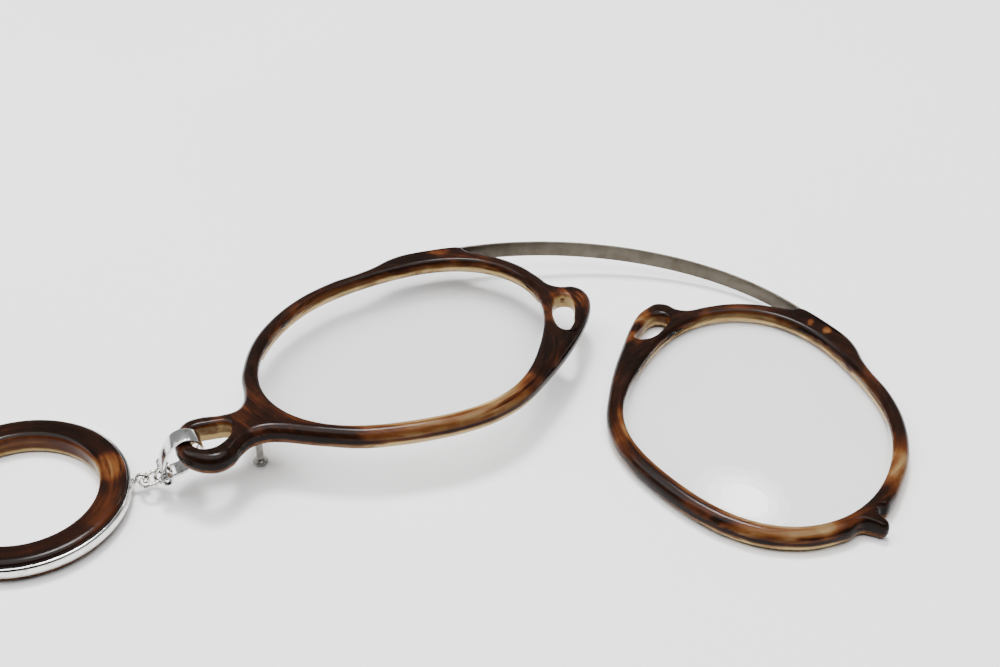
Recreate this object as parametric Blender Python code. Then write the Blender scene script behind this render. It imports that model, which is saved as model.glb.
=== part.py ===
"""Folding reading glasses with a handle loop, a short chain and a ring pendant.

Two oval rims are joined by one thin steel strip that stands on edge. The strip is cut
into leaves that turn on each other, so that it can curl and bring the right rim under
the left one, where the notch at its outer end hooks on the catch pin.

Metres, +Z up. +X runs from the left lens to the right lens, and the object rests on z = 0.
Each rim is drawn in its lens frame: origin at the middle of the lens, x towards the nose,
y towards the spring side, z out of the lens plane. The right rim is the mirror image.
"""
import math

import bmesh
import bpy
from mathutils import Matrix, Vector

MM = 0.001

# ---- placing of the two rims (mm, degrees) ----
SHIFT = Vector((-6.51, 9.04, 0.0))       # left lens centre, from the middle of the whole
LENS_SPACING = 52.7
RIM_THICK = 3.3
LEFT_HEIGHT = 6.54
LEFT_YAW = 22.76
LEFT_TILT = -3.151                      # near edge raised, standing on the catch pin
RIGHT_YAW = -35.35

# ---- rims ----
OPENING_RADIUS = 21.0
OPENING_WAVES = ((2, 0.96, 2.31), (3, -0.59, 0.0), (4, -0.56, 0.28))
RIM_WIDTH = 2.45
RIM_EDGE = 0.8
HOLE_EDGE = 0.55
NOSE_THICK_SHARE = 0.8
NUB_SPOT = (-26.2, -4.2)
NUB_EDGE_SHARE = 0.4
GROOVE_DEPTH = 0.65
OPENING_STEPS = 72

# ---- spring strip ----
STRIP_THICK = 0.35
STRIP_WIDTH = 2.6
STRIP_EXIT = (11.0, 24.2)
STRIP_EXIT_ANGLE = 6.0
STRIP_TAIL = 7.5
STRIP_HANDLE = 20.2
LEAVES = 9
LEAF_GAP = 0.3
SLOT_CLEAR = 0.25
RIVET_RADIUS = 0.45
RIVET_HOLE = 0.75
RIVET_SPOTS = (5.2, 8.4)

# ---- catch pin ----
PIN_SPOT = (-23.7, -14.0)
PIN_RADIUS = 0.55
PIN_HEAD_RADIUS = 1.15
PIN_HOLE = 0.85

# ---- chain and pendant (places on the table, before the shift to the origin) ----
STRAP_SPOT = (-24.35, -29.55, 7.45)     # inside the fold, in the handle loop's wall
STRAP_HEADING = -58.0                   # direction of the strap's width
STRAP_DROOP = 46.0
STRAP_WIDTH = 2.7
STRAP_THICK = 0.4
STRAP_FOLD = 2.35
STRAP_REACH = 4.6
BARREL_RADIUS = 0.95
BARREL_BORE = 0.6
BARREL_HALF = 2.3
BARREL_GAP = 0.95
PIN_OF_STRAP = 0.35
LINK_WIRE = 0.26
LINK_ENDS = (0.22, 1.1)
LINK_BEND = 0.98
LINK_DROOP = 66.0
LINK_TWIST = 15.0
RING_WIRE = 0.36
EYE_WIRE = 0.26
EYE_BEND = 0.86
EYE_GAP = 0.25
EYE_ANGLE = 23.0
EYE_HEADING = 5.0
EYE_HEIGHT = 2.0
PENDANT_CENTRE = (-46.15, -37.8)
PENDANT_OUTER = 15.5
PENDANT_INNER = 11.0
PENDANT_THICK = 3.4
BAND_LOW = 1.0
BAND_HIGH = 2.7
BAND_THICK = 0.6

COLOURS = {
    "tortoise": ((0.16, 0.055, 0.02, 1.0), 0.12, 0.0),
    "lens": ((0.92, 0.94, 0.94, 1.0), 0.03, 0.0),
    "spring_steel": ((0.30, 0.28, 0.24, 1.0), 0.35, 1.0),
    "steel": ((0.45, 0.44, 0.42, 1.0), 0.3, 1.0),
    "silver": ((0.75, 0.74, 0.71, 1.0), 0.22, 1.0),
}


# ---------------------------------------------------------------- scene helpers
def clear_scene():
    for item in list(bpy.data.objects):
        bpy.data.objects.remove(item, do_unlink=True)


def material(name):
    found = bpy.data.materials.get(name)
    if found:
        return found
    colour, roughness, metallic = COLOURS[name]
    made = bpy.data.materials.new(name)
    made.use_nodes = True
    shader = made.node_tree.nodes["Principled BSDF"]
    shader.inputs["Base Color"].default_value = colour
    shader.inputs["Roughness"].default_value = roughness
    shader.inputs["Metallic"].default_value = metallic
    if name == "lens":
        shader.inputs["Transmission Weight"].default_value = 1.0
        shader.inputs["IOR"].default_value = 1.5
    return made


def empty(name, world):
    guide = bpy.data.objects.new(name, None)
    bpy.context.collection.objects.link(guide)
    guide.matrix_world = world
    return guide


def to_object(name, bm, material_name, world, smooth=True):
    """Turn a bmesh in millimetres and in its own frame into a placed object in metres."""
    bmesh.ops.scale(bm, vec=(MM, MM, MM), verts=bm.verts)
    bmesh.ops.recalc_face_normals(bm, faces=bm.faces)
    mesh = bpy.data.meshes.new(name)
    bm.to_mesh(mesh)
    bm.free()
    if material_name:
        mesh.materials.append(material(material_name))
    if smooth:
        mesh.shade_smooth()
        mesh.set_sharp_from_angle(angle=math.radians(35))
    made = bpy.data.objects.new(name, mesh)
    bpy.context.collection.objects.link(made)
    made.matrix_world = world
    return made


def as_cutter(guide):
    guide.hide_render = True
    guide.display_type = "WIRE"
    return guide


def combine(target, tool, operation="DIFFERENCE"):
    as_cutter(tool)
    step = target.modifiers.new(operation.lower(), "BOOLEAN")
    step.operation = operation
    step.solver = "EXACT"
    step.object = tool


def keep_place_under(child, parent):
    child.parent = parent
    child.matrix_parent_inverse = parent.matrix_world.inverted()


def metres(matrix):
    """A millimetre placing as a metre placing."""
    made = matrix.copy()
    made.translation = matrix.translation * MM
    return made


# ---------------------------------------------------------------- plane outlines
def opening(theta, grow=0.0):
    """A point of the lens opening's edge, moved outwards by grow."""
    radius = OPENING_RADIUS
    slope = 0.0
    for order, cosine, sine in OPENING_WAVES:
        radius += cosine * math.cos(order * theta) + sine * math.sin(order * theta)
        slope += order * (sine * math.cos(order * theta) - cosine * math.sin(order * theta))
    along = Vector((math.cos(theta), math.sin(theta)))
    across = Vector((-math.sin(theta), math.cos(theta)))
    normal = (along * radius - across * slope).normalized()
    return along * radius + normal * grow


def opening_loop(grow=0.0, steps=OPENING_STEPS):
    return [opening(2 * math.pi * i / steps, grow) for i in range(steps)]


def rim_arc(start_deg, end_deg, count):
    """Points of the plain rim's outer edge."""
    span = end_deg - start_deg
    return [opening(math.radians(start_deg + span * i / (count - 1)), RIM_WIDTH) for i in range(count)]


def smooth_loop(points, per_span):
    """A closed smooth curve through the points; each span keeps to its own length."""
    count = len(points)
    corners = [Vector(p) for p in points]
    made = []
    for i in range(count):
        a, b, c, d = (corners[(i + k) % count] for k in (-1, 0, 1, 2))
        reach = (c - b).length
        leave = (c - a).normalized() * reach
        arrive = (d - b).normalized() * reach
        for j in range(per_span):
            t = j / per_span
            made.append(b * (2 * t ** 3 - 3 * t ** 2 + 1) + leave * (t ** 3 - 2 * t ** 2 + t)
                        + c * (3 * t ** 2 - 2 * t ** 3) + arrive * (t ** 3 - t ** 2))
    return made


def offset_loop(points, distance):
    """Move a counter-clockwise loop outwards along its own normals."""
    count = len(points)
    made = []
    for i, point in enumerate(points):
        along = (points[(i + 1) % count] - points[i - 1]).normalized()
        made.append(point + Vector((along.y, -along.x)) * distance)
    return made


def nose_side(slim):
    """Outer edge from the near side, round the nose loop and the end block."""
    if slim:
        loop = [(14.6, -16.7), (18.7, -12.0), (22.1, -7.3), (24.9, -2.8), (27.3, 1.3), (28.9, 4.8)]
        loop.append((29.2, 7.0))
    else:
        loop = [(14.6, -16.7), (19.1, -11.8), (23.1, -6.7), (26.4, -1.6), (28.7, 3.0), (29.5, 6.4)]
    return loop + [
        (29.0, 8.9), (27.5, 10.2), (25.5, 10.5), (24.1, 11.4),
        (23.0, 13.6), (21.0, 17.0), (18.2, 20.0), (15.2, 22.1),
        (13.3, 23.4), (12.6, 24.6), (11.0, 25.1), (6.4, 24.9), (2.4, 24.3),
        (-0.2, 23.2), (-2.6, 21.6), (-5.4, 20.2),
    ]


def handle_side():
    """Outer edge of the left rim's outer side with the handle loop, and the near side."""
    handle = [
        (-25.0, -7.6), (-25.4, -10.2), (-26.5, -12.0), (-28.6, -12.6), (-31.4, -12.6),
        (-33.7, -13.4), (-35.0, -15.5), (-35.2, -18.2), (-34.2, -20.8), (-32.2, -22.6),
        (-29.6, -23.2), (-27.4, -22.1), (-26.0, -20.0), (-24.3, -18.3), (-21.6, -17.9),
    ]
    return rim_arc(118, 188, 5) + handle + rim_arc(231, 298, 6)


def nub_side():
    """Outer edge of the right rim's outer side with the notch and the hooked nub."""
    nub = [
        (-24.95, -1.1), (-25.0, -2.1), (-24.55, -2.7), (-24.5, -3.4), (-24.95, -4.0),
        (-25.9, -4.15), (-26.9, -4.2), (-27.45, -4.9), (-27.1, -5.7), (-26.0, -6.15),
        (-24.7, -7.1),
    ]
    return rim_arc(118, 176, 5) + nub + rim_arc(202, 298, 9)


NOSE_HOLE = (
    (22.75, 0.6), (23.5, -1.8), (25.0, -1.5), (25.9, 1.6), (26.7, 5.4), (26.1, 7.1),
    (24.3, 7.1), (23.1, 4.2),
)
SLIM_NOSE_HOLE = (
    (22.9, 1.8), (24.0, 0.0), (25.2, 0.3), (26.0, 2.6), (26.7, 5.4), (26.1, 7.1),
    (24.4, 7.3), (23.3, 4.8),
)
HANDLE_HOLE = (
    (-32.7, -15.7), (-33.0, -18.0), (-31.9, -20.0), (-30.0, -20.2), (-28.3, -18.9),
    (-27.3, -17.0), (-27.5, -15.3), (-30.0, -15.1),
)


# ---------------------------------------------------------------- solids from outlines
def nose_taper(x):
    """The nose loop is thinner than the rim: share of the full thickness at x."""
    share = min(max((x - 22.5) / 4.0, 0.0), 1.0)
    share = share * share * (3 - 2 * share)
    return 1.0 - (1.0 - NOSE_THICK_SHARE) * share


def edge_share(point):
    """The small hooked nub and its notch have tighter edges than the rim."""
    away = (point - Vector(NUB_SPOT)).length
    share = min(max((away - 2.2) / 2.5, 0.0), 1.0)
    return NUB_EDGE_SHARE + (1.0 - NUB_EDGE_SHARE) * share


def loft(outline, profile, mirror, taper=True, nub=False):
    """Stack offset copies of an outline: profile is a list of (height, outward offset)."""
    bm = bmesh.new()
    rings = []
    side = -1.0 if mirror else 1.0
    shares = [edge_share(p) if nub else 1.0 for p in outline]
    scales = [nose_taper(p.x) if taper else 1.0 for p in outline]
    moved = offset_loop(outline, 1.0)
    ways = [there - here for here, there in zip(outline, moved)]
    for height, grow in profile:
        loop = [p + way * grow * share for p, way, share in zip(outline, ways, shares)]
        rings.append([bm.verts.new((side * p.x, p.y, height * k)) for p, k in zip(loop, scales)])
    count = len(outline)
    for low, high in zip(rings, rings[1:]):
        for i in range(count):
            j = (i + 1) % count
            bm.faces.new((low[i], low[j], high[j], high[i]))
    bm.faces.new(list(reversed(rings[0])))
    bm.faces.new(rings[-1])
    return bm


def rounded_profile(half, radius, steps=3):
    """Profile of a plate whose edges are rounded."""
    side = []
    for i in range(steps):
        angle = math.pi / 2 * i / (steps - 1)
        side.append((half - radius + radius * math.sin(angle), radius * (math.cos(angle) - 1)))
    return [(-z, grow) for z, grow in reversed(side)] + side


def hole_profile(half, radius, steps=3):
    """Profile of a cutter that leaves rounded edges."""
    side = []
    for i in range(steps):
        angle = math.pi / 2 * i / (steps - 1)
        side.append((half - radius + radius * math.sin(angle), radius * (1 - math.cos(angle))))
    side.append((half + 0.6, radius + 0.2))
    return [(-z, grow) for z, grow in reversed(side)] + side


def groove_profile(half, radius):
    """The lens opening's cutter: rounded edges and a V groove at mid height."""
    full = hole_profile(half, radius)
    low = [step for step in full if step[0] < 0]
    high = [step for step in full if step[0] > 0]
    return low + [(-0.75, 0.0), (-0.2, GROOVE_DEPTH), (0.2, GROOVE_DEPTH), (0.75, 0.0)] + high


def lens_solid(mirror):
    """A lens with a V edge, flat below and a shallow dome above."""
    profile = [
        (-0.45, -0.6), (-0.38, -0.15), (-0.08, 0.32), (0.08, 0.32),
        (0.48, -0.15), (0.57, -0.6), (0.71, -4.0), (0.86, -9.5), (0.97, -15.0),
    ]
    return loft(opening_loop(), profile, mirror, taper=False)


def box_between(start, end, across, thick, height):
    """A box whose middle line runs from start to end; across is its thickness direction."""
    bm = bmesh.new()
    along = Vector(end) - Vector(start)
    middle = (Vector(start) + Vector(end)) / 2
    up = along.cross(across).normalized()
    side = Vector(across).normalized()
    bmesh.ops.create_cube(bm, size=1.0)
    frame = Matrix((along, side * thick, up * height)).transposed().to_4x4()
    frame.translation = middle
    bmesh.ops.transform(bm, matrix=frame, verts=bm.verts)
    return bm


def turned(profile, steps=20):
    """A closed solid turned about z: profile is a list of (radius, height), low to high."""
    bm = bmesh.new()
    rings = []
    for radius, height in profile:
        if radius <= 1e-6:
            rings.append([bm.verts.new((0, 0, height))])
            continue
        turn = [2 * math.pi * i / steps for i in range(steps)]
        rings.append([bm.verts.new((radius * math.cos(a), radius * math.sin(a), height)) for a in turn])
    for low, high in zip(rings, rings[1:]):
        for i in range(steps):
            j = (i + 1) % steps
            corners = [low[i % len(low)], low[j % len(low)], high[j % len(high)], high[i % len(high)]]
            unique = list(dict.fromkeys(corners))
            bm.faces.new(unique)
    if len(rings[0]) > 1:
        bm.faces.new(list(reversed(rings[0])))
    if len(rings[-1]) > 1:
        bm.faces.new(rings[-1])
    return bm


def ring_solid(section, steps):
    """A ring turned about z: section is a closed list of (radius, height)."""
    bm = bmesh.new()
    rings = []
    for i in range(steps):
        a = 2 * math.pi * i / steps
        rings.append([bm.verts.new((r * math.cos(a), r * math.sin(a), z)) for r, z in section])
    count = len(section)
    for i in range(steps):
        here = rings[i]
        there = rings[(i + 1) % steps]
        for k in range(count):
            n = (k + 1) % count
            bm.faces.new((here[k], there[k], there[n], here[n]))
    return bm


def round_section(centre, wire, steps=8):
    turn = [2 * math.pi * k / steps for k in range(steps)]
    return [(centre + wire * math.cos(a), wire * math.sin(a)) for a in turn]


def swept(stations, half_thick, half_width):
    """A flat bar along stations of (point, across, up)."""
    bm = bmesh.new()
    rings = []
    for point, across, up in stations:
        side = across * half_thick
        rise = up * half_width
        ring = (point - side - rise, point + side - rise, point + side + rise, point - side + rise)
        rings.append([bm.verts.new(corner) for corner in ring])
    for low, high in zip(rings, rings[1:]):
        for k in range(4):
            n = (k + 1) % 4
            bm.faces.new((low[k], low[n], high[n], high[k]))
    bm.faces.new(list(reversed(rings[0])))
    bm.faces.new(rings[-1])
    return bm


def frame_at(origin, along, up_hint):
    """A placing whose x axis is along and whose z axis leans to up_hint."""
    x = Vector(along).normalized()
    y = Vector(up_hint).cross(x).normalized()
    z = x.cross(y)
    made = Matrix((x, y, z)).transposed().to_4x4()
    made.translation = origin
    return made


# ---------------------------------------------------------------- the two lens frames
def left_frame():
    yaw = Matrix.Rotation(math.radians(LEFT_YAW), 4, "Z")
    turn = yaw @ Matrix.Rotation(math.radians(LEFT_TILT), 4, "X")
    return Matrix.Translation(SHIFT + Vector((0, 0, LEFT_HEIGHT))) @ turn


def right_frame():
    turn = Matrix.Rotation(math.radians(RIGHT_YAW), 4, "Z")
    return Matrix.Translation(SHIFT + Vector((LENS_SPACING, 0, RIM_THICK / 2))) @ turn


def sided(point, mirror):
    """A lens-frame point as a 3-D vector, mirrored for the right rim."""
    x, y, z = point if len(point) == 3 else (*point, 0.0)
    return Vector((-x if mirror else x, y, z))


def exit_direction(mirror):
    angle = math.radians(STRIP_EXIT_ANGLE)
    return sided((math.cos(angle), math.sin(angle), 0.0), mirror)


# ---------------------------------------------------------------- spring strip
class Spring:
    """The strip's middle line at rest: straight tails in the blocks and one curve between."""

    def __init__(self):
        left, right = left_frame(), right_frame()
        self.start = left @ sided(STRIP_EXIT, False)
        self.end = right @ sided(STRIP_EXIT, True)
        self.start_way = left.to_3x3() @ exit_direction(False)
        self.end_way = -(right.to_3x3() @ exit_direction(True))
        self.up = (left.to_3x3() @ Vector((0, 0, 1)), right.to_3x3() @ Vector((0, 0, 1)))
        self.table = [(0.0, self.start)]
        for i in range(1, 201):
            here = self.bezier(i / 200)
            length = self.table[-1][0] + (here - self.table[-1][1]).length
            self.table.append((length, here))
        self.length = self.table[-1][0]

    def bezier(self, t):
        a = self.start
        b = a + self.start_way * STRIP_HANDLE
        d = self.end
        c = d - self.end_way * STRIP_HANDLE
        return a * (1 - t) ** 3 + b * 3 * t * (1 - t) ** 2 + c * 3 * t * t * (1 - t) + d * t ** 3

    def point(self, s):
        if s <= 0:
            return self.start + self.start_way * s
        if s >= self.length:
            return self.end + self.end_way * (s - self.length)
        for (s0, p0), (s1, p1) in zip(self.table, self.table[1:]):
            if s <= s1:
                return p0.lerp(p1, (s - s0) / (s1 - s0))
        return self.end

    def station(self, s):
        along = (self.point(s + 0.05) - self.point(s - 0.05)).normalized()
        share = min(max(s / self.length, 0.0), 1.0)
        up = self.up[0].lerp(self.up[1], share)
        up = (up - along * up.dot(along)).normalized()
        return self.point(s), up.cross(along), up

    def hinge_spots(self):
        return [self.point(self.length * (k + 1) / LEAVES) for k in range(LEAVES - 1)]

    def leaf_span(self, index):
        low = -STRIP_TAIL if index == 0 else self.length * index / LEAVES + LEAF_GAP / 2
        high = self.length * (index + 1) / LEAVES - LEAF_GAP / 2
        if index == LEAVES - 1:
            high = self.length + STRIP_TAIL
        return low, high


def make_leaf(spring, index, origin):
    low, high = spring.leaf_span(index)
    marks = [low + (high - low) * i / 5 for i in range(6)]
    if index == 0:
        marks = [low, 0.0] + [high * i / 4 for i in range(1, 5)]
    if index == LEAVES - 1:
        marks = [low + (spring.length - low) * i / 4 for i in range(5)] + [high]
    stations = [(p - origin, across, up) for p, across, up in map(spring.station, marks)]
    bm = swept(stations, STRIP_THICK / 2, STRIP_WIDTH / 2)
    return to_object(f"spring_leaf_{index + 1}", bm, "spring_steel", metres(Matrix.Translation(origin)))


# ---------------------------------------------------------------- rims and what they hold
def slot_line(mirror):
    """Start and end of the block's saw cut, along the strip's tail."""
    way = exit_direction(mirror)
    base = sided(STRIP_EXIT, mirror)
    return base - way * (STRIP_TAIL + 0.6), base + way * 3.0, way


def make_rim(name, outline, mirror, world):
    half = RIM_THICK / 2
    plate = loft(outline, rounded_profile(half, RIM_EDGE), mirror, nub=mirror)
    rim = to_object(name, plate, "tortoise", world)
    nose_hole = smooth_loop(SLIM_NOSE_HOLE if mirror else NOSE_HOLE, 3)
    cutters = [
        loft(opening_loop(), groove_profile(half, HOLE_EDGE), mirror, taper=False),
        loft(nose_hole, hole_profile(half, HOLE_EDGE), mirror),
    ]
    start, end, way = slot_line(mirror)
    across = Vector((0, 0, 1)).cross(way)
    cutters.append(box_between(start, end, across, STRIP_THICK + 2 * SLOT_CLEAR, RIM_THICK + 1))
    for k, bm in enumerate(cutters):
        combine(rim, to_object(f"cut_{name}_{k}", bm, None, world, smooth=False))
    return rim


def rivet_frames(mirror, world):
    """One placing for each rivet: z along the rivet, out of the block's outer side."""
    way = exit_direction(mirror)
    made = []
    for spot in RIVET_SPOTS:
        base = sided(STRIP_EXIT, mirror) - way * (STRIP_EXIT[0] - spot)
        out = Vector((0, 0, 1)).cross(way) * (-1 if mirror else 1)
        made.append(world @ frame_at(base, out.cross(Vector((0, 0, 1))), out))
    return made


RIVET_IN = 2.0
RIVET_OUT = 1.15


def rivet_profile(radius, low, high):
    """A plain shank; the head's dome closes it outside."""
    head = radius * 1.7
    return [(radius, low), (radius, high - 0.1), (head, high), (head * 0.75, high + 0.25), (0, high + 0.35)]


def make_rivets(name, mirror, world, rim, leaf):
    """Two rivets, each with its hole through the block and the strip."""
    made = []
    for k, place in enumerate(rivet_frames(mirror, world)):
        shank = turned(rivet_profile(RIVET_RADIUS, -RIVET_IN, RIVET_OUT), 14)
        bore = [
            (RIVET_HOLE, -RIVET_IN - 0.3), (RIVET_HOLE, RIVET_OUT - 0.45),
            (1.1, RIVET_OUT - 0.2), (1.1, RIVET_OUT + 2),
        ]
        drill = turned(bore, 14)
        tool = to_object(f"cut_{name}_{k}", drill, None, metres(place), smooth=False)
        combine(rim, tool)
        combine(leaf, tool)
        made.append(to_object(f"{name}_{k + 1}", shank, "steel", metres(place)))
    return made


def make_catch_pin(world, rim):
    """A steel peg in the left rim's back; its flared head stands on the table."""
    place = world @ Matrix.Translation((*PIN_SPOT, 0))
    foot = -(place.translation.z - PIN_HEAD_RADIUS * math.sin(math.radians(-LEFT_TILT)))
    profile = [
        (PIN_HEAD_RADIUS * 0.85, foot), (PIN_HEAD_RADIUS, foot + 0.2), (PIN_HEAD_RADIUS * 0.9, foot + 0.55),
        (PIN_RADIUS, foot + 1.1), (PIN_RADIUS, -0.35),
    ]
    pin = to_object("catch_pin", turned(profile, 20), "steel", metres(place))
    drill = turned([(PIN_HOLE, -3.5), (PIN_HOLE, 0.0)], 16)
    combine(rim, to_object("cut_pin", drill, None, metres(place), smooth=False))
    return pin


# ---------------------------------------------------------------- strap, link, rings
def heading(degrees, droop=0.0):
    """A unit direction on the table at an angle from +X, leaning down by droop degrees."""
    flat = math.cos(math.radians(droop))
    turn = math.radians(degrees)
    return Vector((flat * math.cos(turn), flat * math.sin(turn), -math.sin(math.radians(droop))))


def wire_loop(path, wire, steps=8):
    """A closed loop of round wire along a path in the xy plane."""
    bm = bmesh.new()
    count = len(path)
    rings = []
    for i, point in enumerate(path):
        along = (Vector(path[(i + 1) % count]) - Vector(path[i - 1])).normalized()
        out = Vector((along.y, -along.x))
        ring = []
        for k in range(steps):
            angle = 2 * math.pi * k / steps
            reach = wire * math.cos(angle)
            ring.append(bm.verts.new((point[0] + out.x * reach, point[1] + out.y * reach,
                                      wire * math.sin(angle))))
        rings.append(ring)
    for i in range(count):
        here = rings[i]
        there = rings[(i + 1) % count]
        for k in range(steps):
            n = (k + 1) % steps
            bm.faces.new((here[k], there[k], there[n], here[n]))
    return bm


def stadium(first, last, radius, steps):
    """An oval path with round ends centred at x = first and x = last."""
    made = []
    for centre, start in ((last, -90), (first, 90)):
        for i in range(steps + 1):
            angle = math.radians(start + 180 * i / steps)
            made.append((centre + radius * math.cos(angle), radius * math.sin(angle)))
    return made


def circle(radius, steps):
    turn = [2 * math.pi * i / steps for i in range(steps)]
    return [(radius * math.cos(a), radius * math.sin(a)) for a in turn]


def strap_frame():
    """Origin inside the fold, x towards the knuckles, y along the strap's width."""
    width = heading(STRAP_HEADING)
    out = heading(STRAP_HEADING - 90.0, STRAP_DROOP)
    made = Matrix((out, width, out.cross(width))).transposed().to_4x4()
    made.translation = SHIFT + Vector(STRAP_SPOT)
    return made


def strap_path():
    """Middle line of the folded band: in to the fold on top, out again underneath."""
    leg = [(STRAP_REACH - 0.3, 0.8), (3.1, 1.55), (1.2, 2.2)]
    bend = []
    for i in range(9):
        angle = math.radians(75 + 105 * i / 8)
        bend.append((STRAP_FOLD * math.cos(angle), STRAP_FOLD * math.sin(angle)))
    half = leg + bend
    return half + [(x, -z) for x, z in reversed(half[:-1])]


def barrel_frame(world):
    return world @ Matrix.Translation((STRAP_REACH, 0, 0)) @ Matrix.Rotation(math.pi / 2, 4, "X")


def make_strap(world):
    """A flat band folded round the handle wall, with a knuckle at both sides of its ends."""
    path = strap_path()
    stations = []
    for i, (x, z) in enumerate(path):
        before = Vector(path[max(i - 1, 0)])
        after = Vector(path[min(i + 1, len(path) - 1)])
        way = (after - before).normalized()
        stations.append((Vector((x, 0, z)), Vector((-way.y, 0, way.x)), Vector((0, 1, 0))))
    band = swept(stations, STRAP_THICK / 2, STRAP_WIDTH / 2)
    strap = to_object("bail_strap", band, "silver", metres(world))
    place = barrel_frame(world)
    barrel = turned([(BARREL_RADIUS, -BARREL_HALF), (BARREL_RADIUS, BARREL_HALF)], 20)
    combine(strap, to_object("strap_barrel", barrel, "silver", metres(place)), "UNION")
    room = turned([(1.55, -BARREL_GAP), (1.55, BARREL_GAP)], 20)
    combine(strap, to_object("cut_strap_room", room, None, metres(place), smooth=False))
    bore = turned([(BARREL_BORE, -4), (BARREL_BORE, 4)], 16)
    combine(strap, to_object("cut_strap_bore", bore, None, metres(place), smooth=False))
    return strap


def make_strap_pin(place):
    end = BARREL_HALF - 0.2
    rim = PIN_OF_STRAP - 0.06
    profile = [(rim, -end), (PIN_OF_STRAP, 0.1 - end), (PIN_OF_STRAP, end - 0.1), (rim, end)]
    return to_object("bail_pin", turned(profile, 14), "silver", metres(place))


def link_frame(barrel):
    """Origin on the strap's pin, x towards the twisted ring, z out of the link's plane."""
    way = heading(STRAP_HEADING - 90.0 - LINK_TWIST, LINK_DROOP)
    width = heading(STRAP_HEADING - LINK_TWIST)
    made = Matrix((way, -way.cross(width), width)).transposed().to_4x4()
    made.translation = barrel.translation
    return made


def make_link(place):
    path = stadium(LINK_ENDS[0], LINK_ENDS[1], LINK_BEND, 8)
    return to_object("chain_link", wire_loop(path, LINK_WIRE), "silver", metres(place))


def link_touch(place):
    """Middle of the twisted ring's wire where the link holds it."""
    hole_end = LINK_ENDS[1] + LINK_BEND - LINK_WIRE
    return place @ Vector((hole_end - RING_WIRE - 0.15, 0, 0))


def ring_frame(inner, outer):
    """Origin in the middle of the ring, x towards the strap, the ring's plane nearly flat."""
    x = (inner - outer).normalized()
    y = Vector((0, 0, 1)).cross(x).normalized()
    made = Matrix((x, y, x.cross(y))).transposed().to_4x4()
    made.translation = (inner + outer) / 2
    return made


def make_twisted_ring(inner, outer):
    """The ring between the link and the pendant's eye, as one round wire."""
    path = circle((outer - inner).length / 2, 26)
    place = ring_frame(inner, outer)
    return to_object("twisted_ring", wire_loop(path, RING_WIRE), "silver", metres(place))


# ---------------------------------------------------------------- pendant
def pendant_frame():
    """Origin in the middle of the ring on the table, x towards its eye."""
    centre = SHIFT + Vector((*PENDANT_CENTRE, 0))
    return Matrix.Translation(centre) @ Matrix.Rotation(math.radians(EYE_ANGLE), 4, "Z")


def pendant_section():
    """Section of the ring: flat underneath, rounded on top, a step for the band."""
    inner_side = PENDANT_INNER
    outer_side = PENDANT_OUTER - BAND_THICK - 0.3
    half = (outer_side - inner_side) / 2
    middle = (outer_side + inner_side) / 2
    section = [(inner_side, 0.5), (inner_side + 0.4, 0.0), (outer_side, 0.0)]
    rise = 1.1
    for i in range(9):
        angle = math.pi * i / 8
        section.append((middle + half * math.cos(angle), PENDANT_THICK - rise + rise * math.sin(angle)))
    return section


def make_pendant(place):
    """Tortoiseshell ring with a domed top in a silver band."""
    ring = to_object("pendant_ring", ring_solid(pendant_section(), 56), "tortoise", metres(place))
    inner = PENDANT_OUTER - BAND_THICK
    band = [
        (inner, BAND_LOW), (PENDANT_OUTER - 0.15, BAND_LOW), (PENDANT_OUTER, BAND_LOW + 0.3),
        (PENDANT_OUTER, BAND_HIGH - 0.3), (PENDANT_OUTER - 0.15, BAND_HIGH), (inner, BAND_HIGH),
    ]
    shell = to_object("pendant_band", ring_solid(band, 56), "silver", metres(place))
    return ring, shell


def eye_centre(place):
    reach = PENDANT_OUTER + EYE_GAP + EYE_WIRE + EYE_BEND
    return place @ Vector((reach, 0, EYE_HEIGHT))


def make_eye(place):
    way = heading(EYE_HEADING)
    up = Vector((0, 0, 1))
    stand = Matrix((way, up, way.cross(up))).transposed().to_4x4()
    stand.translation = eye_centre(place)
    return to_object("pendant_eye", wire_loop(circle(EYE_BEND, 16), EYE_WIRE), "silver", metres(stand))


# ---------------------------------------------------------------- the whole object
def make_left_side(frame, first_leaf):
    outline = smooth_loop(nose_side(False) + handle_side(), 3)
    rim = make_rim("left_rim", outline, False, metres(frame))
    handle_hole = loft(smooth_loop(HANDLE_HOLE, 3), hole_profile(RIM_THICK / 2, HOLE_EDGE), False)
    combine(rim, to_object("cut_handle", handle_hole, None, metres(frame), smooth=False))
    to_object("left_lens", lens_solid(False), "lens", metres(frame))
    make_rivets("left_rivet", False, frame, rim, first_leaf)
    make_catch_pin(frame, rim)


def make_right_side(frame, last_leaf, hinge):
    """The right rim and what it holds turn together on the last hinge."""
    outline = smooth_loop(nose_side(True) + nub_side(), 3)
    rim = make_rim("right_rim", outline, True, metres(frame))
    lens = to_object("right_lens", lens_solid(True), "lens", metres(frame))
    rivets = make_rivets("right_rivet", True, frame, rim, last_leaf)
    guide = empty("right_hinge", metres(Matrix.Translation(hinge)))
    for item in [rim, lens] + rivets:
        keep_place_under(item, guide)


def make_chain():
    strap = strap_frame()
    barrel = barrel_frame(strap)
    link = link_frame(barrel)
    pendant = pendant_frame()
    make_strap(strap)
    make_strap_pin(barrel)
    make_link(link)
    make_twisted_ring(link_touch(link), eye_centre(pendant))
    make_eye(pendant)
    make_pendant(pendant)


def build():
    clear_scene()
    spring = Spring()
    hinges = spring.hinge_spots()
    origins = [spring.start] + hinges
    leaves = [make_leaf(spring, i, origins[i]) for i in range(LEAVES)]
    make_left_side(left_frame(), leaves[0])
    make_right_side(right_frame(), leaves[-1], hinges[-1])
    make_chain()


build()
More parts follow.
